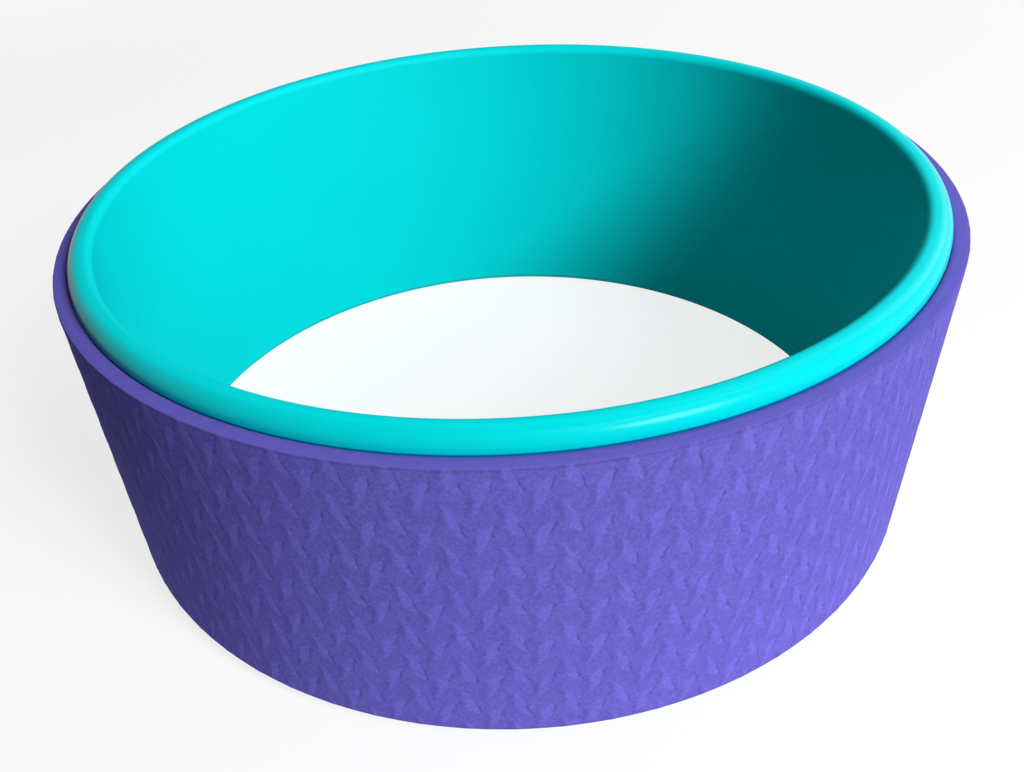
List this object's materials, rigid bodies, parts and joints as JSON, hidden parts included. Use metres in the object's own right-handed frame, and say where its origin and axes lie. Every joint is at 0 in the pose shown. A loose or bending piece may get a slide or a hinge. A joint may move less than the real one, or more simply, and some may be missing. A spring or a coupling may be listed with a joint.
{
  "type": "yoga wheel",
  "caption": "Yoga wheel: stiff plastic hoop with rounded bare rims and a soft embossed grip pad bonded round its outside, to roll on and to support the back.",
  "frame": {"origin": "on the wheel's axis, in the plane of the lower rim on which it lies", "axes": "+Z along the wheel's axis, up as the wheel lies on its side; the pad's seam faces +Y, so -Y is the side that the picture shows"},
  "size_m": [0.33, 0.33, 0.125],
  "materials": {
    "hoop_plastic": "moulded ABS, turquoise, satin gloss",
    "film": "double-sided adhesive film, milky",
    "pad_foam": "closed-cell TPE foam, violet, matt, embossed with a leaf pattern"
  },
  "bodies": {
    "root": {"core_hoop": "hoop_plastic", "adhesive_film": "film", "grip_pad": "pad_foam"}
  },
  "joints": []
}
